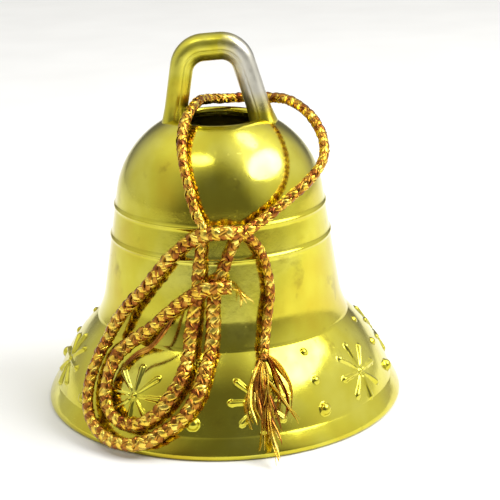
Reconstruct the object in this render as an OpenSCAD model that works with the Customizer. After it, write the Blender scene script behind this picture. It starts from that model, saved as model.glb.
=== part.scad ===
// Christmas bell ornament: a plated plastic bell with a hanging eye, a clapper
// and a braided metallic cord. Millimetres, +Z up. The origin is the centre of
// the mouth, on the surface that the bell stands on.

/* [Bell] */
// Radius of the mouth, over the rim
mouth_r = 25; // [24.6:0.1:25.4]
// Thickness of the wall
wall = 1.3; // [1:0.1:1.5]
// Height of the crease between the body and the flared lip
crease_z = 12.3; // [12:0.1:12.6]
// Radius of the opening in the crown
crown_hole_r = 5.6; // [5:0.1:6]
// How far the two raised bands stand out from the body
band_out = 0.35; // [0.2:0.05:0.5]
// Height of the lower raised band
band_low_z = 23.9; // [22:0.1:25]
// Height of the upper raised band
band_high_z = 28.1; // [27:0.1:29]

/* [Hanging eye] */
// Height of the top of the eye
eye_top_z = 51.2; // [50.5:0.1:52]
// Width of the strap, from its outer edge to its inner edge
eye_strap = 3.6; // [3.2:0.1:3.8]
// Thickness of the strap from front to back
eye_depth = 4; // [3.4:0.1:4.4]
// Lean of each leg from upright, in degrees
eye_lean = 13; // [12:0.5:14]
// Tilt of the whole eye towards -X, in degrees
eye_tilt = 4; // [0:0.5:5]

/* [Clapper] */
// Height of the crossbar that the clapper hangs from
crossbar_z = 33.5; // [33:0.1:34]
// Radius of the crossbar
crossbar_r = 0.6; // [0.5:0.05:0.6]
// Radius of the wire of the link and of the clapper
wire_r = 0.45; // [0.4:0.05:0.45]
// Clearance in each hanging joint
play = 0.08; // [0.05:0.01:0.1]
// Radius of the clapper's ball
ball_r = 4.5; // [4:0.1:4.6]
// Height of the centre of the clapper's ball
ball_z = 9.5; // [9:0.1:10]

/* [Cord] */
// Diameter of the braided cord
cord_d = 1.5; // [1.3:0.1:1.6]

/* [Hidden] */

gold = [0.80, 0.72, 0.20];
cord_gold = [0.85, 0.60, 0.12];
steel = [0.72, 0.72, 0.70];

// Outline of the bell. Each round stretch is one arc, and the wall's inside is
// the same arc with a smaller radius.
dome_c = [1.6, 28];
dome_r = 12.75;
dome_low_a = 9;
dome_high_a = acos((crown_hole_r - dome_c[0]) / dome_r);
lip_r = 22.6;
lip_high_a = 48.3;
lip_low_a = 19.3;
lip_c = [17.4 - lip_r * cos(lip_high_a), crease_z - lip_r * sin(lip_high_a)];
body_slope = tan(dome_low_a);
body_top = dome_c + dome_r * [cos(dome_low_a), sin(dome_low_a)];
flare_top_z = 16;
flare_out = 0.62;
rim_h = 1.4;
rim_edge = 0.3;
band_h = 0.9;
arc_steps = 12;

function arc(c, r, a0, a1) =
    [for (i = [0:arc_steps]) let(a = a0 + (a1 - a0) * i / arc_steps) c + r * [cos(a), sin(a)]];
function body_r(z) = body_top[0] + (body_top[1] - z) * body_slope;
function band(z) = [
    [body_r(z - band_h / 2), z - band_h / 2],
    [body_r(z) + band_out, z - band_h / 6],
    [body_r(z) + band_out, z + band_h / 6],
    [body_r(z + band_h / 2), z + band_h / 2]];

outer_line = concat(
    [[mouth_r - rim_edge, 0], [mouth_r, rim_edge], [mouth_r, rim_h]],
    arc(lip_c, lip_r, lip_low_a, lip_high_a),
    [[body_r(14) + flare_out * 0.25, 14], [body_r(flare_top_z), flare_top_z]],
    band(band_low_z),
    band(band_high_z),
    arc(dome_c, dome_r, dome_low_a, dome_high_a));
inner_line = concat(
    arc(dome_c, dome_r - wall, acos((crown_hole_r - dome_c[0]) / (dome_r - wall)), dome_low_a),
    [[body_r(flare_top_z) - wall, flare_top_z]],
    arc(lip_c, lip_r - wall, lip_high_a, lip_low_a),
    [[mouth_r - wall, rim_h], [mouth_r - wall, 0]]);

// Hanging eye: a flat-topped arch whose legs lean in, with its feet let into the
// crown.
eye_out_r = 4.7;
eye_out_w = 1.1;
eye_in_r = 1.7;
eye_in_w = 1.1;
eye_out_c = eye_top_z - eye_out_r;
eye_in_c = eye_top_z - eye_strap - eye_in_r;
eye_foot_z = 38.2;
foot_out = 7.4;
foot_in = 5.4;
foot_y = 1.4;
eye_base_z = 39.6;

// Clapper: a flat wire link on the crossbar, and a wire with the ball on its end.
boss_r = 1.7;
boss_in = 9.2;
boss_out = 10.9;
crossbar_half = 10.6;
ring_r = crossbar_r + play + wire_r;
link_ring_r = 1.3;
link_low_z = crossbar_z - 4.6;
clapper_pivot_z = link_low_z - link_ring_r;
clapper_ring_z = clapper_pivot_z + 2 * wire_r + play - ring_r;
stem_r = 0.5;
stem_in_ball = 3;

// Routes of the cord, from end to end: the inner turn starts at one frayed end
// and runs up to the knot, the hanging loop goes through the eye and back to
// the knot, the outer turn hangs down the front, and the tail runs down to the
// surface.
inner_turn_route = [[1.5, -18.2, 21.3], [-1.5, -18.4, 21.3], [-4.3, -17.5, 19.6],
    [-6.8, -16.6, 17.4], [-9.2, -15.8, 15], [-11.8, -15, 13], [-14, -15.2, 11],
    [-15.2, -16.3, 8.3], [-15.4, -17.8, 5.8], [-14.2, -20, 4.3], [-11.6, -21.8, 3.9],
    [-9, -22.4, 5.3], [-6.8, -22, 7.6], [-5.2, -20.9, 10], [-4.3, -19, 12.2],
    [-3.9, -17.9, 14.9], [-3.4, -17.5, 17.8], [-2.9, -16.9, 20.8], [-2.6, -16.3, 23.8],
    [-2.2, -16.1, 26.6]];
hanging_loop_route = [[-1.8, -16.2, 28.4], [-2.9, -15.2, 30.6], [-3.6, -14.2, 33.2],
    [-4.3, -12.5, 35.9], [-4.6, -9.9, 38.4], [-4.2, -6.8, 40.6], [-3.3, -3.4, 41.7],
    [-2.4, 0, 42], [-1.2, 3.4, 41.5], [1.2, 6, 41], [4.2, 6.4, 41], [6.8, 4.6, 41.3],
    [9.3, 2.2, 41.5], [11.4, -0.7, 40.9], [13, -3.6, 39.7], [14, -6.6, 37.8],
    [13.8, -9.3, 35.7], [12, -11.3, 33.6], [9.6, -12.6, 31.8], [7.2, -13.9, 30.2],
    [4.8, -15.3, 28.8], [3.2, -16.2, 28.2]];
outer_turn_route = [[-1.8, -16.7, 28], [-3.8, -15.7, 26.8], [-6, -15.2, 24.9],
    [-8, -14.6, 22.5], [-9.9, -13.8, 20], [-11.9, -12.7, 17.6], [-13.8, -11.7, 15],
    [-15.4, -11.7, 12.2], [-16.9, -13, 9.5], [-17.9, -15, 6.6], [-17.8, -17.3, 3.9],
    [-16.1, -20.2, 2.2], [-13.4, -22.6, 1.8], [-10.4, -23.7, 2.3], [-7.4, -23.6, 3.8],
    [-5, -23.3, 5.6], [-3.3, -22.5, 7.9], [-2.2, -20.9, 10.4], [-1.4, -18.8, 12.8],
    [-1, -17.7, 15.8], [-0.9, -17.2, 18.8], [-0.1, -16.7, 21.6], [1, -16.2, 24.4],
    [2.2, -16.3, 26.9]];
tail_route = [[3.2, -16.3, 27.8], [5.2, -15.5, 25.6], [6.2, -15.4, 22.6], [6.5, -15.6, 19.6],
    [6.1, -16.4, 16.7], [5.7, -17.3, 13.8], [5.5, -19, 11.5]];
frayed_route = [[5.5, -19, 11.5], [5.8, -21.7, 8.2], [6.2, -23.5, 4.6], [6.6, -25.5, 1.3]];
knot_c = [0.7, -16.6, 28.2];
knot_half = 2.6;
knot_r = 1.3;
cord_sides = 8;

function unit(v) = v / norm(v);
function tangent(p, i) = unit(p[min(i + 1, len(p) - 1)] - p[max(i - 1, 0)]);
function square_to(n, t) = unit(n - (n * t) * t);
function ring_normals(p, n, i = 0) =
    i == len(p) ? [] :
    let(m = square_to(n, tangent(p, i))) concat([m], ring_normals(p, m, i + 1));
function ring(c, t, n, r) =
    [for (k = [0:cord_sides - 1]) let(a = 360 * k / cord_sides)
        c + r * (cos(a) * n + sin(a) * cross(t, n))];

// A tube swept along the points p
module tube(p, r) {
    n = ring_normals(p, [0.3, 0.2, 0.93]);
    last = len(p) - 1;
    points = [for (i = [0:last]) each ring(p[i], tangent(p, i), n[i], r)];
    sides = [for (i = [0:last - 1], k = [0:cord_sides - 1])
        let(j = (k + 1) % cord_sides, a = i * cord_sides, b = a + cord_sides)
            [a + k, b + k, b + j, a + j]];
    caps = [[for (k = [0:cord_sides - 1]) k],
        [for (k = [cord_sides - 1:-1:0]) last * cord_sides + k]];
    polyhedron(points, concat(sides, caps));
}

// A wire ring about the X axis
module ring_about_x(z, r) {
    translate([0, 0, z])
        rotate([0, 90, 0])
            rotate_extrude($fn = 48)
                translate([r, 0])
                    circle(r = wire_r, $fn = 24);
}

module eye_feet() {
    for (side = [-1, 1])
        translate([side * (foot_in + foot_out) / 2, 0, (eye_foot_z + eye_base_z) / 2])
            cube([foot_out - foot_in, 2 * foot_y, eye_base_z - eye_foot_z], center = true);
}

// Outline of an arch with corners of radius r about [-w, c] and [w, c], whose
// legs lean out down to z
module arch(r, w, c, z) {
    tip = r * [cos(eye_lean), sin(eye_lean)] + [w, c];
    spread = tip[0] + (tip[1] - z) * tan(eye_lean);
    polygon(concat(
        [[-spread, z], [spread, z]],
        [for (i = [0:12]) let(a = eye_lean + (90 - eye_lean) * i / 12)
            [w + r * cos(a), c + r * sin(a)]],
        [for (i = [0:12]) let(a = 90 + (90 - eye_lean) * i / 12)
            [-w + r * cos(a), c + r * sin(a)]]));
}

module bell_shell() {
    color(gold)
        difference() {
            union() {
                rotate_extrude($fn = 96)
                    polygon(concat(outer_line, inner_line));
                for (side = [-1, 1])
                    translate([side * (boss_in + boss_out) / 2, 0, crossbar_z])
                        rotate([0, 90, 0])
                            cylinder(r = boss_r, h = boss_out - boss_in, center = true, $fn = 32);
            }
            translate([0, 0, crossbar_z])
                rotate([0, 90, 0])
                    cylinder(r = crossbar_r, h = 2 * crossbar_half, center = true, $fn = 32);
            eye_feet();
        }
}

module hanging_eye() {
    color(gold)
        union() {
            difference() {
                translate([0, 0, eye_base_z])
                    rotate([90, -eye_tilt, 0])
                        linear_extrude(eye_depth, center = true)
                            translate([0, -eye_base_z])
                                difference() {
                                    arch(eye_out_r, eye_out_w, eye_out_c, eye_foot_z);
                                    arch(eye_in_r, eye_in_w, eye_in_c, eye_foot_z - 1);
                                }
                rotate_extrude($fn = 96)
                    polygon(concat(
                        [[0, eye_foot_z - 1], [mouth_r, eye_foot_z - 1]],
                        arc(dome_c, dome_r, dome_low_a * 3, 90),
                        [[0, dome_c[1] + dome_r]]));
            }
            eye_feet();
        }
}

module clapper_crossbar() {
    color(steel)
        translate([0, 0, crossbar_z])
            rotate([0, 90, 0])
                cylinder(r = crossbar_r, h = 2 * crossbar_half, center = true, $fn = 32);
}

module clapper_link() {
    shank_top = crossbar_z - ring_r - wire_r / 2;
    shank_low = link_low_z + link_ring_r + wire_r / 2;
    color(steel)
        union() {
            ring_about_x(crossbar_z, ring_r);
            ring_about_x(link_low_z, link_ring_r);
            translate([0, 0, shank_low])
                cylinder(r = wire_r, h = shank_top - shank_low, $fn = 24);
        }
}

module clapper_wire() {
    stem_top = clapper_ring_z - ring_r;
    stem_low = ball_z + ball_r - stem_in_ball;
    color(steel)
        union() {
            rotate([0, 0, 90])
                ring_about_x(clapper_ring_z, ring_r);
            translate([0, 0, stem_low])
                cylinder(r = stem_r, h = stem_top - stem_low, $fn = 24);
        }
}

module clapper_ball() {
    color(gold)
        difference() {
            translate([0, 0, ball_z])
                sphere(r = ball_r, $fn = 64);
            translate([0, 0, ball_z + ball_r - stem_in_ball])
                cylinder(r = stem_r, h = ball_r, $fn = 24);
        }
}

module cord_hanging_loop() {
    color(cord_gold)
        tube(hanging_loop_route, cord_d / 2);
}

module cord_knot() {
    color(cord_gold)
        translate(knot_c)
            rotate([0, 90, 0])
                union() {
                    cylinder(r = knot_r, h = 2 * (knot_half - knot_r / 2), center = true, $fn = 32);
                    for (side = [-1, 1])
                        translate([0, 0, side * (knot_half - knot_r / 2)])
                            sphere(r = knot_r, $fn = 32);
                }
}

module cord_outer_turn() {
    color(cord_gold)
        tube(outer_turn_route, cord_d / 2);
}

module cord_inner_turn() {
    color(cord_gold)
        tube(inner_turn_route, cord_d / 2);
}

module cord_tail() {
    color(cord_gold)
        tube(tail_route, cord_d / 2);
}

module cord_frayed_end() {
    color(cord_gold)
        tube(frayed_route, cord_d * 0.7);
}

bell_shell();
hanging_eye();
clapper_crossbar();
clapper_link();
clapper_wire();
clapper_ball();
cord_hanging_loop();
cord_knot();
cord_outer_turn();
cord_inner_turn();
cord_tail();
cord_frayed_end();
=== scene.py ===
import math

import bpy
import numpy as np
from mathutils import Matrix, Vector


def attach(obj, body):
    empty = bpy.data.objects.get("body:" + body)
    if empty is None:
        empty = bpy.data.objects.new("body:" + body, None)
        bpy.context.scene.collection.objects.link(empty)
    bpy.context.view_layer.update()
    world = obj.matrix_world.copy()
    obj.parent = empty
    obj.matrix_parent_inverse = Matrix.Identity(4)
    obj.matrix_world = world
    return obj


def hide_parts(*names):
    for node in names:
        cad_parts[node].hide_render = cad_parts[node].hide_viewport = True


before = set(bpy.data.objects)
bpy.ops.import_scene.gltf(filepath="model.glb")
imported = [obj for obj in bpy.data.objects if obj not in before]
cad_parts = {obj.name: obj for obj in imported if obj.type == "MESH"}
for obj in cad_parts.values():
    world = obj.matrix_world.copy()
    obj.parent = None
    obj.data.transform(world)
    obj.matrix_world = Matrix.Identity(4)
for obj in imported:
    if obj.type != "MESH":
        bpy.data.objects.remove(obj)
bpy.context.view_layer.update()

MM = 0.001

# ---------------------------------------------------------------- dimensions, in millimetres

MOUTH_R = 25.0
WALL = 1.3
CREASE_R = 17.4
CREASE_Z = 12.3
HOLE_R = 5.6
DOME_C = np.array([1.6, 28.0])
DOME_R = 12.75
DOME_LOW = 9.0
LIP_R = 22.6
LIP_LOW = 19.3
LIP_HIGH = 48.3
BODY_SLOPE = math.tan(math.radians(DOME_LOW))
FLARE_TOP_Z = 16.0
FLARE_OUT = 0.046
BAND_HEIGHTS = (23.9, 28.1)
BAND_OUT = 0.22
BAND_SPREAD = 0.24
RIM_TOP_Z = 2.9
SEED = 11


def direction(degrees):
    """The unit vector at an angle in the (r, z) plane."""
    return np.array([math.cos(math.radians(degrees)), math.sin(math.radians(degrees))])


LIP_C = np.array([CREASE_R, CREASE_Z]) - LIP_R * direction(LIP_HIGH)
BODY_TOP = DOME_C + DOME_R * direction(DOME_LOW)

# ---------------------------------------------------------------- camera

CAMERA_AT = Vector((4.0, -200.0, 84.0)) * MM
CAMERA_PITCH = 17.597
CAMERA_ROLL = -1.224
CAMERA_LENS = 107.8
CAMERA_SENSOR = 36.0


def make_camera():
    data = bpy.data.cameras.new("camera")
    data.lens = CAMERA_LENS
    data.sensor_width = CAMERA_SENSOR
    data.clip_start = 0.01
    camera = bpy.data.objects.new("camera", data)
    bpy.context.scene.collection.objects.link(camera)
    tilt = Matrix.Rotation(math.radians(90 - CAMERA_PITCH), 4, "X")
    roll = Matrix.Rotation(math.radians(CAMERA_ROLL), 4, "Z")
    camera.matrix_world = Matrix.Translation(CAMERA_AT) @ tilt @ roll
    bpy.context.scene.camera = camera


make_camera()

# ---------------------------------------------------------------- mesh helpers


def mesh_object(name, points, faces, materials, smooth=True):
    """A mesh piece from points in millimetres. materials is one material or a list."""
    mesh = bpy.data.meshes.new(name)
    mesh.from_pydata((np.asarray(points, float) * MM).tolist(), [], [list(f) for f in faces])
    mesh.validate()
    if smooth:
        mesh.polygons.foreach_set("use_smooth", [True] * len(mesh.polygons))
    for material in (materials if isinstance(materials, list) else [materials]):
        mesh.materials.append(material)
    mesh.update()
    piece = bpy.data.objects.new(name, mesh)
    bpy.context.scene.collection.objects.link(piece)
    return piece


def smooth_step(x):
    x = np.clip(x, 0.0, 1.0)
    return x * x * (3 - 2 * x)


def unit(v):
    return v / np.linalg.norm(v, axis=-1, keepdims=True)


def grid_faces(rows, columns):
    """Quads of a grid of points stored row by row, each row closed on itself."""
    faces = []
    for i in range(rows - 1):
        for j in range(columns):
            a, b = i * columns, (i + 1) * columns
            k = (j + 1) % columns
            faces.append((a + j, a + k, b + k, b + j))
    return faces


def end_caps(rows, columns, first=0):
    """Faces that close the first and last row of a grid of points."""
    last = first + (rows - 1) * columns
    return [tuple(range(first, first + columns))[::-1], tuple(range(last, last + columns))]


# ---------------------------------------------------------------- the cord's route

ROUTE_SAMPLE = 0.05
ROUTE_STEP = 0.3


def curve_through(route, step):
    """Points about step apart on a smooth curve through the route's points."""
    p = np.asarray(route, float)
    p = np.vstack([2 * p[0] - p[1], p, 2 * p[-1] - p[-2]])
    out = []
    for i in range(1, len(p) - 2):
        count = max(2, int(np.linalg.norm(p[i + 1] - p[i]) / ROUTE_SAMPLE))
        t = np.linspace(0, 1, count, endpoint=False)[:, None]
        out.append(0.5 * (2 * p[i] + (p[i + 1] - p[i - 1]) * t
                          + (2 * p[i - 1] - 5 * p[i] + 4 * p[i + 1] - p[i + 2]) * t ** 2
                          + (3 * p[i] - p[i - 1] - 3 * p[i + 1] + p[i + 2]) * t ** 3))
    out.append(p[-2:-1])
    return resample(np.vstack(out), step)


def resample(line, step):
    """Points about step apart along a line."""
    along = np.concatenate([[0], np.cumsum(np.linalg.norm(np.diff(line, axis=0), axis=1))])
    at = np.linspace(0, along[-1], max(2, int(round(along[-1] / step)) + 1))
    return np.stack([np.interp(at, along, line[:, k]) for k in range(3)], axis=1)


def length_of(line):
    return float(np.linalg.norm(np.diff(line, axis=0), axis=1).sum())


def frames_along(line):
    """Tangents and two normals along a line, turning as little as they can."""
    tangents = unit(np.gradient(line, axis=0))
    normal = np.array([0.3, 0.2, 0.93])
    normals = []
    for t in tangents:
        normal = normal - (normal @ t) * t
        normal = normal / np.linalg.norm(normal)
        normals.append(normal)
    normals = np.array(normals)
    return tangents, normals, np.cross(tangents, normals)


INNER_TURN = [(1.5, -18.2, 21.3), (-1.5, -18.4, 21.3), (-4.3, -17.5, 19.6), (-6.8, -16.6, 17.4),
              (-9.2, -15.8, 15), (-11.8, -15, 13), (-14, -15.2, 11), (-15.2, -16.3, 8.3),
              (-15.4, -17.8, 5.8), (-14.2, -20, 4.3), (-11.6, -21.8, 3.9), (-9, -22.4, 5.3),
              (-6.8, -22, 7.6), (-5.2, -20.9, 10), (-4.3, -19, 12.2), (-3.9, -17.9, 14.9),
              (-3.4, -17.5, 17.8), (-2.9, -16.9, 20.8), (-2.6, -16.3, 23.8), (-2.2, -16.1, 26.6)]
HANGING_LOOP = [(-1.8, -16.2, 28.4), (-2.9, -15.2, 30.6), (-3.6, -14.2, 33.2), (-4.3, -12.5, 35.9),
                (-4.6, -9.9, 38.4), (-4.2, -6.8, 40.6), (-3.3, -3.4, 41.7), (-2.4, 0, 42),
                (-1.2, 3.4, 41.5), (1.2, 6, 41), (4.2, 6.4, 41), (6.8, 4.6, 41.3), (9.3, 2.2, 41.5),
                (11.4, -0.7, 40.9), (13, -3.6, 39.7), (14, -6.6, 37.8), (13.8, -9.3, 35.7),
                (12, -11.3, 33.6), (9.6, -12.6, 31.8), (7.2, -13.9, 30.2), (4.8, -15.3, 28.8),
                (3.2, -16.2, 28.2)]
KNOT_PASS = [(0.8, -17.4, 28.4)]
OUTER_TURN = [(-1.8, -16.7, 28), (-3.8, -15.7, 26.8), (-6, -15.2, 24.9), (-8, -14.6, 22.5),
              (-9.9, -13.8, 20), (-11.9, -12.7, 17.6), (-13.8, -11.7, 15), (-15.4, -11.7, 12.2),
              (-16.9, -13, 9.5), (-17.9, -15, 6.6), (-17.8, -17.3, 3.9), (-16.1, -20.2, 2.2),
              (-13.4, -22.6, 1.8), (-10.4, -23.7, 2.3), (-7.4, -23.6, 3.8), (-5, -23.3, 5.6),
              (-3.3, -22.5, 7.9), (-2.2, -20.9, 10.4), (-1.4, -18.8, 12.8), (-1, -17.7, 15.8),
              (-0.9, -17.2, 18.8), (-0.1, -16.7, 21.6), (1, -16.2, 24.4), (2.2, -16.3, 26.9)]
TAIL = [(3.2, -16.3, 27.8), (5.2, -15.5, 25.6), (6.2, -15.4, 22.6), (6.5, -15.6, 19.6),
        (6.1, -16.4, 16.7), (5.7, -17.3, 13.8), (5.5, -19, 11.5)]
FRAYED = [(5.5, -19, 11.5), (5.8, -21.7, 8.2), (6.2, -23.5, 4.6), (6.6, -25.5, 1.3)]

# ---------------------------------------------------------------- node helpers


def new_material(name):
    material = bpy.data.materials.new(name)
    material.use_nodes = True
    tree = material.node_tree
    return material, tree, tree.nodes["Principled BSDF"]


def feed(tree, socket, value):
    """Links an input to another node's output, or sets its value."""
    if isinstance(value, bpy.types.NodeSocket):
        tree.links.new(value, socket)
    else:
        socket.default_value = value


def add_node(tree, kind, inputs=None, **settings):
    node = tree.nodes.new(kind)
    for key, value in settings.items():
        setattr(node, key, value)
    for key, value in (inputs or {}).items():
        feed(tree, node.inputs[key], value)
    return node


def object_coordinates(tree, scale=(1, 1, 1)):
    coordinates = add_node(tree, "ShaderNodeTexCoord")
    mapping = add_node(tree, "ShaderNodeMapping",
                       {"Vector": coordinates.outputs["Object"], "Scale": scale})
    return mapping.outputs["Vector"]


def noise(tree, vector, scale, detail=4.0, roughness=0.55):
    node = add_node(tree, "ShaderNodeTexNoise",
                    {"Vector": vector, "Scale": scale, "Detail": detail, "Roughness": roughness})
    return node.outputs["Fac"]


def remap(tree, value, low, high, to_low, to_high):
    node = add_node(tree, "ShaderNodeMapRange",
                    {"Value": value, "From Min": low, "From Max": high,
                     "To Min": to_low, "To Max": to_high})
    return node.outputs["Result"]


def ramp(tree, value, stops):
    node = add_node(tree, "ShaderNodeValToRGB", {"Fac": value})
    elements = node.color_ramp.elements
    while len(elements) < len(stops):
        elements.new(0.5)
    for element, (position, colour) in zip(elements, stops):
        element.position = position
        element.color = (*colour, 1)
    return node.outputs["Color"]


def mix(tree, factor, a, b):
    """Colour a to colour b. Sockets 6, 7 and output 2 are the mix node's colour ones."""
    node = add_node(tree, "ShaderNodeMix", data_type="RGBA")
    feed(tree, node.inputs[0], factor)
    for socket, value in ((node.inputs[6], a), (node.inputs[7], b)):
        feed(tree, socket, value if isinstance(value, bpy.types.NodeSocket) else (*value, 1))
    return node.outputs[2]


def maths(tree, operation, a, b):
    return add_node(tree, "ShaderNodeMath", {0: a, 1: b}, operation=operation).outputs[0]


def bump(tree, height, strength, distance, normal=None):
    node = add_node(tree, "ShaderNodeBump",
                    {"Height": height, "Strength": strength, "Distance": distance})
    if normal is not None:
        tree.links.new(normal, node.inputs["Normal"])
    return node.outputs["Normal"]


# ---------------------------------------------------------------- materials

GOLD = (0.60, 0.54, 0.05)
GOLD_WARM = (0.54, 0.42, 0.03)
GOLD_PALE = (0.72, 0.68, 0.13)
GOLD_STAIN = (0.20, 0.14, 0.02)
WORN_SILVER = (0.60, 0.58, 0.50)
WORN_X = (0.0005, 0.0035)
WORN_Z = (0.0405, 0.0435)


def gold_plating():
    """Vacuum-plated plastic: greenish gold with haze, runs and specks."""
    material, tree, shader = new_material("gold_plating")
    place = object_coordinates(tree)
    runs = object_coordinates(tree, (1, 1, 0.18))
    tint = noise(tree, place, 90, 3)
    colour = ramp(tree, tint, [(0.30, GOLD_WARM), (0.52, GOLD), (0.75, GOLD_PALE)])
    stain = remap(tree, noise(tree, place, 210, 6, 0.62), 0.60, 0.74, 0.0, 0.55)
    colour = mix(tree, stain, colour, GOLD_STAIN)
    haze = noise(tree, runs, 260, 5)
    specks = remap(tree, noise(tree, place, 1500, 2, 0.4), 0.66, 0.76, 0.0, 1.0)
    tree.links.new(colour, shader.inputs["Base Color"])
    roughness = maths(tree, "ADD", remap(tree, haze, 0.35, 0.75, 0.10, 0.24),
                      maths(tree, "MULTIPLY", specks, 0.12))
    tree.links.new(roughness, shader.inputs["Roughness"])
    shader.inputs["Metallic"].default_value = 1.0
    wave = bump(tree, noise(tree, runs, 110, 2, 0.4), 0.45, 0.0007)
    grain = bump(tree, noise(tree, place, 900, 4, 0.6), 0.12, 0.00008, wave)
    tree.links.new(grain, shader.inputs["Normal"])
    return material


def eye_plating():
    """The same plating, worn to grey silver on one leg of the eye."""
    material, tree, shader = new_material("eye_plating")
    place = object_coordinates(tree)
    coordinates = add_node(tree, "ShaderNodeTexCoord")
    split = add_node(tree, "ShaderNodeSeparateXYZ", {"Vector": coordinates.outputs["Object"]})
    patch = noise(tree, place, 420, 4)
    edge = maths(tree, "MULTIPLY", maths(tree, "SUBTRACT", patch, 0.5), 0.004)
    side = maths(tree, "ADD", split.outputs["X"], edge)
    worn_side = remap(tree, side, *WORN_X, 0.0, 1.0)
    worn_high = remap(tree, split.outputs["Z"], *WORN_Z, 0.0, 1.0)
    worn = maths(tree, "MULTIPLY", worn_side, worn_high)
    gold = ramp(tree, noise(tree, place, 160, 3), [(0.3, GOLD_WARM), (0.55, GOLD), (0.8, GOLD_PALE)])
    tree.links.new(mix(tree, worn, gold, WORN_SILVER), shader.inputs["Base Color"])
    tree.links.new(remap(tree, patch, 0.3, 0.8, 0.26, 0.46), shader.inputs["Roughness"])
    shader.inputs["Metallic"].default_value = 1.0
    wave = bump(tree, noise(tree, place, 300, 3), 0.3, 0.0004)
    tree.links.new(wave, shader.inputs["Normal"])
    return material


def cord_film(name, tints):
    """Metallic film, creased and sparkling."""
    material, tree, shader = new_material(name)
    place = object_coordinates(tree)
    tint = noise(tree, place, 520, 2)
    colour = ramp(tree, tint, list(zip((0.32, 0.48, 0.68), tints)))
    tree.links.new(colour, shader.inputs["Base Color"])
    roughness = remap(tree, noise(tree, place, 2200, 2), 0.3, 0.7, 0.16, 0.36)
    tree.links.new(roughness, shader.inputs["Roughness"])
    shader.inputs["Metallic"].default_value = 1.0
    crease = bump(tree, noise(tree, place, 1100, 2, 0.5), 0.45, 0.00014)
    tree.links.new(crease, shader.inputs["Normal"])
    return material


def cord_core():
    """The dark red-brown threads seen between the strips."""
    material, tree, shader = new_material("cord_core")
    place = object_coordinates(tree)
    colour = ramp(tree, noise(tree, place, 1500, 3),
                  [(0.35, (0.045, 0.010, 0.004)), (0.65, (0.13, 0.035, 0.010))])
    tree.links.new(colour, shader.inputs["Base Color"])
    shader.inputs["Roughness"].default_value = 0.7
    tree.links.new(bump(tree, noise(tree, place, 3000, 2), 0.5, 0.0001), shader.inputs["Normal"])
    return material


def steel_wire():
    """Drawn wire: fine scratches round it and a little tarnish."""
    material, tree, shader = new_material("steel_wire")
    place = object_coordinates(tree)
    tint = noise(tree, place, 700, 4)
    colour = ramp(tree, tint, [(0.3, (0.36, 0.33, 0.28)), (0.6, (0.66, 0.65, 0.62))])
    tree.links.new(colour, shader.inputs["Base Color"])
    tree.links.new(remap(tree, tint, 0.3, 0.7, 0.38, 0.20), shader.inputs["Roughness"])
    shader.inputs["Metallic"].default_value = 1.0
    tree.links.new(bump(tree, noise(tree, place, 2500, 3), 0.3, 0.00005), shader.inputs["Normal"])
    return material


gold = gold_plating()
eye_gold = eye_plating()
film = cord_film("cord_film", ((0.62, 0.30, 0.03), (0.86, 0.58, 0.06), (0.92, 0.72, 0.14)))
# A copy of the same film with painted shade: its dark red-brown tints stand for the shade on the cord, not
# for another dye.
film_painted_shade = cord_film("cord_film_painted_shade", ((0.20, 0.05, 0.012), (0.36, 0.13, 0.02), (0.60, 0.32, 0.04)))
core = cord_core()
steel = steel_wire()

# ---------------------------------------------------------------- the cord

STRANDS = 4
LAY = 6.2
STRIP = 0.92
STRIP_T = 0.05
BRAID_R = 0.62
BRAID_WAVE = 0.05
BRAID_STEP = 0.16
CORE_R = BRAID_R - 0.15
CORE_SIDES = 8
TURN_WIDE = 1.34
TURN_FLAT = 0.92


def wobble(count, every, size, rng):
    """A smooth random value at each of count points, one knot every that many points."""
    knots = rng.normal(0, size, int(count / every) + 4)
    x = np.arange(count) / every
    i = x.astype(int)
    t = smooth_step(x - i)
    return knots[i] * (1 - t) + knots[i + 1] * t


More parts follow.
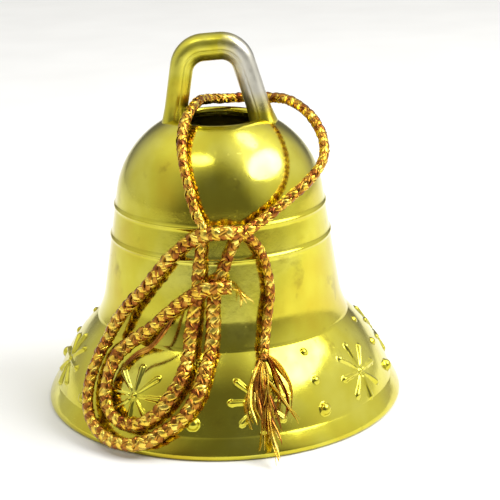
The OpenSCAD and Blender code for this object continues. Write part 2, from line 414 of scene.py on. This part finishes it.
def braid(name, line, widths, rng):
    """A tubular braid of flat film strips round a line, over a dark core. The strips that run one way wear
    the film, those that run the other way the copy with painted shade.

    widths is lengths along the line, and how much the braid spreads at each.
    """
    line = resample(line, BRAID_STEP)
    count = len(line)
    tangents = unit(np.gradient(line, axis=0))
    away = unit(line * np.array([1.0, 1.0, 0.25]) + np.array([0.0, -6.0, 0.0]))
    up = unit(away - (away * tangents).sum(axis=1, keepdims=True) * tangents)
    side = np.cross(up, tangents)
    s = np.linspace(0, length_of(line), count)
    wide = np.interp(s, *widths) * (1 + wobble(count, 16, 0.045, rng))
    flat = 1 + (wide - 1) / (TURN_WIDE - 1) * (TURN_FLAT - 1)
    turn = 2 * math.pi * s / LAY
    wave = BRAID_WAVE * np.cos(4 * turn)
    across = np.array([-1.0, -0.45, 0.45, 1.0])
    profile = [(a, STRIP_T / 2) for a in across] + [(a, -STRIP_T / 2) for a in across[::-1]]

    def place(phi, r):
        """Points beside the line, at an angle and a radius round it."""
        return (line + (r * wide * np.cos(phi))[:, None] * side
                + (r * flat * np.sin(phi))[:, None] * up)

    points, faces, used = [], [], 0
    for direction in (1, -1):
        for k in range(STRANDS):
            angle = direction * turn + 2 * math.pi * k / STRANDS + wobble(count, 9, 0.09, rng)
            radius = BRAID_R + direction * wave + wobble(count, 7, 0.022, rng)
            half = STRIP / 2 / math.cos(math.atan(2 * math.pi * BRAID_R / LAY)) / BRAID_R
            half = half * (0.90 + wobble(count, 8, 0.10, rng))
            tilt = 0.03 * direction + wobble(count, 6, 0.04, rng)
            strip = [place(angle + a * half, radius + lift + 0.02 * (1 - a * a) + tilt * a)
                     for a, lift in profile]
            points.append(np.stack(strip, axis=1).reshape(-1, 3))
            n = len(strip)
            faces += (np.array(grid_faces(count, n)) + used).tolist() + end_caps(count, n, used)
            used += count * n
    threads = [place(2 * math.pi * k / CORE_SIDES, CORE_R) for k in range(CORE_SIDES)]
    points.append(np.stack(threads, axis=1).reshape(-1, 3))
    film_faces = len(faces)
    # The second half of the strips, which run the other way, get the film copy with painted shade.
    painted_shade_from = film_faces // 2
    faces += (np.array(grid_faces(count, CORE_SIDES)) + used).tolist() + end_caps(count, CORE_SIDES, used)
    piece = mesh_object(name, np.vstack(points), faces, [film, film_painted_shade, core])
    index = np.zeros(len(piece.data.polygons), np.int32)
    index[painted_shade_from:] = 1
    index[film_faces:] = 2
    piece.data.polygons.foreach_set("material_index", index)
    return piece


rng = np.random.default_rng(SEED)
cord_line = curve_through(INNER_TURN + HANGING_LOOP + KNOT_PASS + OUTER_TURN + TAIL, ROUTE_STEP)
inner_length = length_of(curve_through(INNER_TURN, ROUTE_STEP))
loop_length = length_of(curve_through(HANGING_LOOP, ROUTE_STEP))
outer_length = length_of(curve_through(OUTER_TURN, ROUTE_STEP))
# Wide over the two turns, narrow over the loop and the tail, with a few millimetres between.
marks = np.cumsum([0, inner_length - 4, 4, loop_length, 4, outer_length - 6, 8, 8])
cord = braid("cord", cord_line, (marks, [TURN_WIDE, TURN_WIDE, 1, 1, TURN_WIDE, TURN_WIDE, 1, 0.9]), rng)
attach(cord, "bell")
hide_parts("cord_hanging_loop", "cord_knot", "cord_outer_turn", "cord_inner_turn", "cord_tail",
            "cord_frayed_end")

# ---------------------------------------------------------------- the bell's outline


def arc(centre, radius, start, end, step):
    """Points of an arc in the (r, z) plane, about step apart. The angles are in degrees."""
    count = max(2, int(abs(math.radians(end - start)) * radius / step) + 1)
    a = np.radians(np.linspace(start, end, count))
    return centre + radius * np.stack([np.cos(a), np.sin(a)], axis=1)


def body_radius(z):
    """Radius of the body's outside at a height, with its flare and its two raised bands."""
    flare = np.where(z < FLARE_TOP_Z, FLARE_OUT * (FLARE_TOP_Z - z) ** 2, 0.0)
    bead = sum(BAND_OUT * np.exp(-((z - h) / BAND_SPREAD) ** 2) for h in BAND_HEIGHTS)
    return BODY_TOP[0] + (BODY_TOP[1] - z) * BODY_SLOPE + flare + bead


def lip_outline():
    return arc(LIP_C, LIP_R, LIP_LOW, LIP_HIGH - 0.6, 0.15)


# How far in from the mouth's radius, and the height.
RIM_SIDE = ((0.02, 0.7), (0.10, 0.95), (0.25, 1.25), (0.47, 1.65), (0.76, 2.10), (1.02, 2.50), (1.22, 2.80))


def rim_outline():
    """The bottom of the rim and its rounded edge, up to the lip."""
    flat = np.array([[MOUTH_R - WALL + 0.25, 0.0], [MOUTH_R - 0.75, 0.0]])
    turn = arc(np.array([MOUTH_R - 0.5, 0.5]), 0.5, -85, 0, 0.1)
    side = np.array([(MOUTH_R - inset, z) for inset, z in RIM_SIDE])
    return np.vstack([flat, turn, side])


def body_outline():
    z = np.arange(CREASE_Z + 0.25, BODY_TOP[1], 0.12)
    return np.stack([body_radius(z), z], axis=1)


def dome_outline():
    """The dome, and the rounded edge of the opening in the crown."""
    edge = 0.6
    high = math.degrees(math.acos((HOLE_R + edge - DOME_C[0]) / (DOME_R - edge)))
    dome = arc(DOME_C, DOME_R, DOME_LOW, high, 0.3)
    centre = DOME_C + (DOME_R - edge) * direction(high)
    lip = arc(centre, edge, high, 180, 0.12)
    return np.vstack([dome, lip[1:]])


def inner_outline():
    """The bell's inside, from the crown's opening down to the mouth."""
    start = math.degrees(math.acos((HOLE_R - DOME_C[0]) / (DOME_R - WALL)))
    dome = arc(DOME_C, DOME_R - WALL, start, DOME_LOW, 0.5)
    z = np.arange(BODY_TOP[1] - 0.4, FLARE_TOP_Z, -0.8)
    body = np.stack([BODY_TOP[0] + (BODY_TOP[1] - z) * BODY_SLOPE - WALL, z], axis=1)
    lip = arc(LIP_C, LIP_R - WALL, LIP_HIGH, LIP_LOW, 0.5)
    foot = np.array([[MOUTH_R - WALL - 0.15, 1.6], [MOUTH_R - WALL, 1.0], [MOUTH_R - WALL + 0.05, 0.2]])
    return np.vstack([dome, body, lip, foot])


# ---------------------------------------------------------------- relief on the lip

STARS = 8
STAR_FIRST = 13.0
STAR_Z = 6.8
PETALS = 8
PETAL_FROM = 0.7
PETAL_TO = 4.3
PETAL_H = 0.36
HEART_R = 0.36
HEART_H = 0.30
# Height, radius and how far each dot between two stars stands out.
DOTS = ((11.1, 0.46, 0.30), (7.9, 0.55, 0.38), (4.4, 0.85, 0.75))


def up_lip(z):
    """Distance up the lip's curve to a height."""
    return LIP_R * (math.asin((z - LIP_C[1]) / LIP_R) - math.radians(LIP_LOW))


def round_top(share):
    """Height of a round bump at a share of its radius from the middle, 1 at most."""
    return np.sqrt(np.clip(1 - share ** 2, 0, 1))


def lip_relief(azimuth, arc_up):
    """How far the stars and dots stand out, at an azimuth in degrees and a distance up the lip."""
    step = 360.0 / STARS
    radius = LIP_C[0] + LIP_R * np.cos(np.radians(LIP_LOW) + arc_up / LIP_R)
    across = (np.mod(azimuth - STAR_FIRST + step / 2, step) - step / 2) * np.radians(1) * radius
    up = arc_up - up_lip(STAR_Z)
    out = np.zeros_like(across)
    for k in range(PETALS):
        a = 2 * math.pi * k / PETALS
        along = across * math.cos(a) + up * math.sin(a)
        off = -across * math.sin(a) + up * math.cos(a)
        reach = (along - PETAL_FROM) / (PETAL_TO - PETAL_FROM)
        half = 0.11 + 0.35 * np.clip(reach, 0, 1)
        tip = np.clip((PETAL_TO - along) / 0.45, 0, 1) ** 0.5
        root = smooth_step((along - PETAL_FROM + 0.3) / 0.6)
        bulge = round_top(off / (half * np.maximum(tip, 0.05)))
        inside = (along > PETAL_FROM - 0.3) & (along < PETAL_TO)
        rise = PETAL_H * (0.55 + 0.6 * np.clip(reach, 0, 1)) * bulge * root * tip
        out = np.maximum(out, np.where(inside, rise, 0))
    out = np.maximum(out, HEART_H * round_top(np.hypot(across, up) / HEART_R))
    middle = (np.mod(azimuth - STAR_FIRST, step) - step / 2) * np.radians(1) * radius
    for z, size, rise in DOTS:
        away = np.hypot(middle, arc_up - up_lip(z))
        out = np.maximum(out, rise * round_top(away / size))
    return out


# Points round the lip, which carries the relief, and round the rest. FINE is four times COARSE.
FINE = 960
COARSE = 240


def revolve(line, columns):
    """Points of an outline turned about Z, row by row. Azimuth 0 is the front."""
    a = np.radians(np.arange(columns) * 360.0 / columns)
    x = line[:, :1] * np.sin(a)
    y = -line[:, :1] * np.cos(a)
    z = np.repeat(line[:, 1:], columns, axis=1)
    return np.stack([x, y, z], axis=2)


def seam_faces(fine_start, coarse_start, flip):
    """Faces between a row of FINE points and a row of COARSE points."""
    ratio = FINE // COARSE
    faces = []
    for j in range(COARSE):
        b, c = coarse_start + j, coarse_start + (j + 1) % COARSE
        a = [fine_start + (j * ratio + k) % FINE for k in range(ratio + 1)]
        for face in ((a[0], a[1], b), (a[1], a[2], b), (a[2], c, b), (a[2], a[3], c), (a[3], a[4], c)):
            faces.append(face[::-1] if flip else face)
    return faces


def make_shell():
    """The whole shell in one mesh, closed from the inside of the mouth round the outside and back."""
    lip = lip_outline()
    arc_up = np.concatenate([[0], np.cumsum(np.linalg.norm(np.diff(lip, axis=0), axis=1))])
    azimuth = np.arange(FINE) * 360.0 / FINE
    grid_a, grid_u = np.meshgrid(azimuth, arc_up)
    relief = lip_relief(grid_a, grid_u)
    normal = (lip - LIP_C) / LIP_R
    out = lip[:, None, :] + relief[:, :, None] * normal[:, None, :]
    a = np.radians(grid_a)
    lip_points = np.stack([out[:, :, 0] * np.sin(a), -out[:, :, 0] * np.cos(a), out[:, :, 1]], axis=2)
    below = revolve(rim_outline(), COARSE)
    above = revolve(np.vstack([body_outline(), dome_outline(), inner_outline()]), COARSE)
    n_below, n_lip, n_above = len(below), len(lip_points), len(above)
    start_lip = n_below * COARSE
    start_above = start_lip + n_lip * FINE
    points = np.vstack([below.reshape(-1, 3), lip_points.reshape(-1, 3), above.reshape(-1, 3)])
    faces = grid_faces(n_below, COARSE)
    faces += (np.array(grid_faces(n_lip, FINE)) + start_lip).tolist()
    faces += (np.array(grid_faces(n_above, COARSE)) + start_above).tolist()
    faces += seam_faces(start_lip, (n_below - 1) * COARSE, True)
    faces += seam_faces(start_lip + (n_lip - 1) * FINE, start_above, False)
    last = start_above + (n_above - 1) * COARSE
    for j in range(COARSE):
        k = (j + 1) % COARSE
        faces.append((last + j, last + k, k, j))
    return mesh_object("bell_shell_plated", points, faces, gold)


shell = make_shell()
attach(shell, "bell")
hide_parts("bell_shell")


BAR_Z = 33.5
BOSS_R = 1.7
BOSS_IN = 9.2
BOSS_OUT = 11.3
BOSS_EDGE = 0.3
BOSS_SIDES = 48
NEAR_ZERO = 0.001


def level_bar(name, a, b, radius, material):
    """A level round bar with bevelled ends between two points."""
    a, b = np.asarray(a, float), np.asarray(b, float)
    length = np.linalg.norm(b - a)
    t = (b - a) / length
    n = np.cross(t, [0.0, 0.0, 1.0])
    m = np.cross(t, n)
    profile = [(NEAR_ZERO, 0.0), (radius - BOSS_EDGE, 0.0), (radius, BOSS_EDGE),
               (radius, length - BOSS_EDGE), (radius - BOSS_EDGE, length), (NEAR_ZERO, length)]
    phi = 2 * math.pi * np.arange(BOSS_SIDES) / BOSS_SIDES
    round_it = np.cos(phi)[:, None] * n + np.sin(phi)[:, None] * m
    rows = [a + h * t + r * round_it for r, h in profile]
    return mesh_object(name, np.vstack(rows), grid_faces(len(rows), BOSS_SIDES), material)


for side_name, side_sign in (("left", -1), ("right", 1)):
    boss = level_bar(f"crossbar_boss_{side_name}", (side_sign * BOSS_IN, 0, BAR_Z),
                     (side_sign * BOSS_OUT, 0, BAR_Z), BOSS_R, gold)
    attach(boss, "bell")

# ---------------------------------------------------------------- the hanging eye

EYE_TOP = 51.2
EYE_OUT = (4.7, 1.1)
EYE_IN = (1.7, 1.1)
EYE_STRAP = 3.6
EYE_LEAN = math.radians(13)
EYE_TILT = math.radians(4)
EYE_BASE_Z = 39.6
EYE_DEPTH = 2.0
EYE_FOOT_Z = 38.6
# The feet spread outwards, inwards and in depth over this height.
FOOT_HEIGHT = 3.6
FOOT_OUT = 0.35
FOOT_IN = 0.25
FOOT_DEEP = 0.6
# Points in each corner, along the flat top and down each leg.
EYE_TURN = 24
EYE_FLAT = 8
EYE_LEG = 40
# Half of the strap's section: a share from inner to outer edge, and a share of the half depth.
STRAP_HALF = [
    (0.00, 0.00), (0.00, 0.30), (0.02, 0.48), (0.07, 0.62), (0.14, 0.72), (0.24, 0.83), (0.33, 0.915),
    (0.365, 0.925), (0.395, 0.91), (0.42, 0.93), (0.46, 0.975), (0.56, 1.00), (0.68, 0.985), (0.80, 0.92),
    (0.89, 0.80), (0.95, 0.64), (0.985, 0.42), (1.00, 0.20),
]


def eye_outline(corner, top):
    """One edge of the strap in the (x, z) plane, from the left foot over the top to the right."""
    radius, flat = corner
    turn = np.linspace(EYE_LEAN, math.pi / 2, EYE_TURN)
    right = np.stack([flat + radius * np.cos(turn), top - radius + radius * np.sin(turn)], axis=1)
    drop = right[0, 1] - EYE_FOOT_Z
    down = np.linspace(1, 0, EYE_LEG, endpoint=False)[:, None]
    leg = right[0] + down * np.array([drop * math.tan(EYE_LEAN), -drop])
    across = np.stack([np.linspace(flat, -flat, EYE_FLAT)[1:-1], np.full(EYE_FLAT - 2, top)], axis=1)
    half = np.vstack([leg, right])
    mirrored = half[::-1] * np.array([-1, 1])
    return np.vstack([half, across, mirrored])[::-1]


def make_eye():
    """The strap arch, tilted about its base."""
    outer = eye_outline(EYE_OUT, EYE_TOP)
    inner = eye_outline(EYE_IN, EYE_TOP - EYE_STRAP)
    section = STRAP_HALF + [(f, -d) for f, d in STRAP_HALF[:0:-1]]
    rings = []
    for o, i in zip(outer, inner):
        low = (o[1] + i[1]) / 2 - EYE_FOOT_Z
        flare = max(0.0, 1 - low / FOOT_HEIGHT) ** 2
        o2 = o + np.array([math.copysign(FOOT_OUT * flare, o[0]), 0])
        i2 = i + np.array([-math.copysign(FOOT_IN * flare, i[0]), 0])
        ring = []
        for f, d in section:
            x, z = i2 + (o2 - i2) * f
            z -= EYE_BASE_Z
            ring.append((x * math.cos(EYE_TILT) - z * math.sin(EYE_TILT),
                         -d * (EYE_DEPTH + FOOT_DEEP * flare),
                         EYE_BASE_Z + x * math.sin(EYE_TILT) + z * math.cos(EYE_TILT)))
        rings.append(ring)
    n = len(section)
    points = np.array(rings).reshape(-1, 3)
    faces = grid_faces(len(rings), n) + end_caps(len(rings), n)
    return mesh_object("hanging_eye_plated", points, faces, eye_gold)


eye = make_eye()
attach(eye, "bell")
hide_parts("hanging_eye")

# ---------------------------------------------------------------- the clapper

BALL_Z = 9.5
BALL_R = 4.5
BALL_SIDES = 96
SEAM_OUT = 0.05
SEAM_SPREAD = 0.12


def make_ball():
    """The moulded ball: a thin seam round it, and a collar where the wire goes in."""
    line = []
    for a in np.linspace(-90, 76, 120):
        across, up = direction(a)
        z = BALL_Z + BALL_R * up
        seam = SEAM_OUT * math.exp(-((z - BALL_Z) / SEAM_SPREAD) ** 2) - SEAM_OUT
        line.append((max(BALL_R * across + seam * across, NEAR_ZERO), z))
    top = BALL_Z + BALL_R
    line += [(1.0, top - 0.02), (0.95, top + 0.02), (0.6, top + 0.03)]
    rows = revolve(np.array(line), BALL_SIDES)
    faces = grid_faces(len(rows), BALL_SIDES) + end_caps(len(rows), BALL_SIDES)
    return mesh_object("clapper_ball_plated", rows.reshape(-1, 3), faces, gold)


ball = make_ball()
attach(ball, "clapper")
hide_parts("clapper_ball")

for node_name in ("clapper_crossbar", "clapper_link", "clapper_wire"):
    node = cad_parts[node_name]
    node.data.materials.clear()
    node.data.materials.append(steel)

# ---------------------------------------------------------------- the cord's frayed ends

STRIP_STEP = 0.35
STRIP_THICK = 0.035
STRIP_GAP = 0.25
STRIP_LOW = 0.12


def bell_radius(z):
    """Radius of the bell's outside at a height, for keeping loose strips off it."""
    if z > CREASE_Z:
        return float(body_radius(np.array(z)))
    if z > RIM_TOP_Z:
        return LIP_C[0] + math.sqrt(LIP_R ** 2 - (z - LIP_C[1]) ** 2)
    return MOUTH_R


def push_out(p):
    """Moves a point clear of the bell and of the floor."""
    r = math.hypot(p[0], p[1])
    least = bell_radius(p[2]) + STRIP_GAP
    if r < least:
        p = np.array([p[0] * least / r, p[1] * least / r, p[2]])
    p[2] = max(p[2], STRIP_LOW)
    return p


def strip_mesh(line, width, twist):
    """Points and faces of one flat film strip along a line, narrower at its ends."""
    tangents, side, up = frames_along(line)
    count = len(line)
    phi = np.linspace(0, twist, count) + twist * 0.3
    flat = np.cos(phi)[:, None] * side + np.sin(phi)[:, None] * up
    thin = np.cross(tangents, flat)
    share = np.linspace(0.0, 1.0, count)
    taper = np.clip(np.minimum(0.45 + 1.6 * share, 2.4 * (1 - share) + 0.08), 0, 1)[:, None]
    edge = flat * width / 2 * taper
    half = thin * STRIP_THICK / 2
    ring = [line + edge + half, line + thin * STRIP_THICK, line - edge + half,
            line - edge - half, line, line + edge - half]
    points = np.stack(ring, axis=1).reshape(-1, 3)
    return points, grid_faces(count, len(ring)) + end_caps(count, len(ring))


def fray(name, starts, material, rng):
    """Loose strips. Each start is (route, width, twist, count, spread at the end)."""
    all_points, all_faces, used = [], [], 0
    for route, width, twist, copies, spread in starts:
        for _ in range(copies):
            base = curve_through(route, STRIP_STEP)
            share = np.linspace(0, 1, len(base))[:, None]
            sway = rng.normal(0, 1, 3) * np.array([1, 0.45, 0.7]) * spread
            curl = rng.normal(0, 1, 3) * 0.22 * spread
            line = base + sway * share ** 1.6 + curl * np.sin(share * math.pi * rng.uniform(1.5, 3.0))
            cut = int(len(line) * rng.uniform(0.72, 1.0))
            line = np.array([push_out(p) for p in line[:cut]])
            points, faces = strip_mesh(line, width * rng.uniform(0.8, 1.15), twist * rng.uniform(0.5, 1.3))
            all_points.append(points)
            all_faces += [[v + used for v in f] for f in faces]
            used += len(points)
    return mesh_object(name, np.vstack(all_points), all_faces, material)


tail_fray = fray("cord_tail_strips", [
    (FRAYED, 0.62, 3.0, 8, 1.0),
    (FRAYED, 1.0, 1.6, 5, 0.9),
    ([(5.6, -18.4, 12.3), (7.2, -19.6, 11.2), (8.8, -21.4, 9.0), (8.6, -23.0, 6.0)], 0.95, 1.2, 3, 0.7),
    ([(5.6, -18.6, 12.1), (4.4, -20.6, 9.8), (3.8, -22.6, 7.0), (4.8, -24.0, 4.2)], 0.95, 1.4, 3, 0.6),
    ([(5.7, -20.6, 9.6), (7.6, -22.4, 7.6), (9.4, -23.6, 5.0), (10.0, -23.6, 3.4)], 0.8, 1.2, 3, 0.5),
    ([(5.7, -22.0, 7.4), (6.2, -24.4, 4.4), (6.9, -26.4, 1.8), (7.3, -28.6, 0.5)], 0.9, 1.4, 5, 0.35),
], film, rng)
# More tail strips, in the film copy with painted shade.
tail_fray_painted_shade = fray("cord_tail_strips_painted_shade", [
    (FRAYED, 0.8, 2.0, 6, 1.1),
    ([(5.6, -18.4, 12.6), (6.8, -20.0, 10.6), (7.8, -22.2, 7.4), (7.4, -24.0, 4.0)], 0.9, 1.2, 4, 0.7),
    ([(5.4, -18.6, 12.1), (4.9, -20.9, 9.4), (5.0, -23.0, 6.2), (5.8, -24.8, 3.0)], 0.9, 1.4, 4, 0.6),
], film_painted_shade, rng)
head_fray = fray("cord_end_strips", [
    ([(1.2, -18.2, 21.3), (2.4, -18.2, 20.9), (3.4, -18.0, 19.8), (3.6, -17.8, 18.4)], 0.5, 2.5, 6, 0.7),
], film, rng)
# Loose strips in the film copy with painted shade.
side_fray = fray("cord_loose_strips", [
    ([(-6.0, -17.2, 17.2), (-7.6, -18.0, 15.2), (-9.2, -18.0, 13.4), (-11.2, -17.6, 12.2),
      (-13.0, -18.2, 10.4), (-13.4, -19.4, 8.0)], 0.6, 1.5, 2, 0.35),
], film_painted_shade, rng)
frays = [tail_fray, tail_fray_painted_shade, head_fray, side_fray]
for piece in frays:
    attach(piece, "bell")

# ---------------------------------------------------------------- the studio


FLOOR_HALF = 1.5


def make_floor():
    """A pale level sheet under the bell."""
    points = np.array([(x * FLOOR_HALF, y * FLOOR_HALF, 0)
                       for x, y in ((-1, -1), (1, -1), (1, 1), (-1, 1))]) / MM
    material, tree, shader = new_material("pale_floor")
    place = object_coordinates(tree)
    colour = ramp(tree, noise(tree, place, 30, 2), [(0.3, (0.87, 0.87, 0.86)), (0.7, (0.91, 0.91, 0.90))])
    tree.links.new(colour, shader.inputs["Base Color"])
    shader.inputs["Roughness"].default_value = 0.9
    mesh_object("floor", points, [(0, 1, 2, 3)], material, False)


def area_light(name, at, aim, size, power):
    data = bpy.data.lights.new(name, "AREA")
    data.shape = "ELLIPSE"
    data.size, data.size_y = size
    data.energy = power
    light = bpy.data.objects.new(name, data)
    light.location = at
    light.rotation_euler = (aim - at).to_track_quat("-Z", "Y").to_euler()
    bpy.context.scene.collection.objects.link(light)


# The room's light: towards, where it starts and is full (cosines), and how strong.
ROOM_BASE = 0.18
ROOM_LIGHT = (
    ((0.86, 0.10, 0.50), 0.40, 0.95, 0.80),
    ((-0.86, 0.10, 0.50), 0.40, 0.95, 0.60),
    ((0.0, 0.25, 0.97), 0.45, 1.0, 0.55),
)
LAMP_AIM = Vector((0, 0, 0.025))
# Name, towards, distance, size and power.
LAMPS = (
    ("window", (0.68, -0.16, 0.70), 0.34, (0.30, 0.17), 0.95),
    ("lamp_back", (0.36, 0.23, 0.91), 0.40, (0.17, 0.08), 0.24),
    ("lamp_left", (-0.29, -0.31, 0.91), 0.40, (0.15, 0.08), 0.20),
)


def make_world():
    """A soft room, brighter to the sides and overhead. The camera and the metal see the same one."""
    world = bpy.data.worlds.new("studio")
    bpy.context.scene.world = world
    world.use_nodes = True
    tree = world.node_tree
    coordinates = add_node(tree, "ShaderNodeTexCoord")
    level = ROOM_BASE
    for towards, start, full, strength in ROOM_LIGHT:
        dot = add_node(tree, "ShaderNodeVectorMath",
                       {0: coordinates.outputs["Generated"], 1: Vector(towards).normalized()},
                       operation="DOT_PRODUCT")
        fade = add_node(tree, "ShaderNodeMapRange",
                        {"Value": dot.outputs["Value"], "From Min": start, "From Max": full, "To Min": 0.0,
                         "To Max": strength}, interpolation_type="SMOOTHSTEP")
        level = maths(tree, "ADD", level, fade.outputs["Result"])
    background = tree.nodes["Background"]
    background.inputs["Color"].default_value = (1.0, 0.99, 0.96, 1.0)
    tree.links.new(level, background.inputs["Strength"])


make_floor()
make_world()
for name, towards, distance, size, power in LAMPS:
    area_light(name, Vector(towards).normalized() * distance + LAMP_AIM, LAMP_AIM, size, power)

bpy.context.scene.view_settings.view_transform = "Standard"
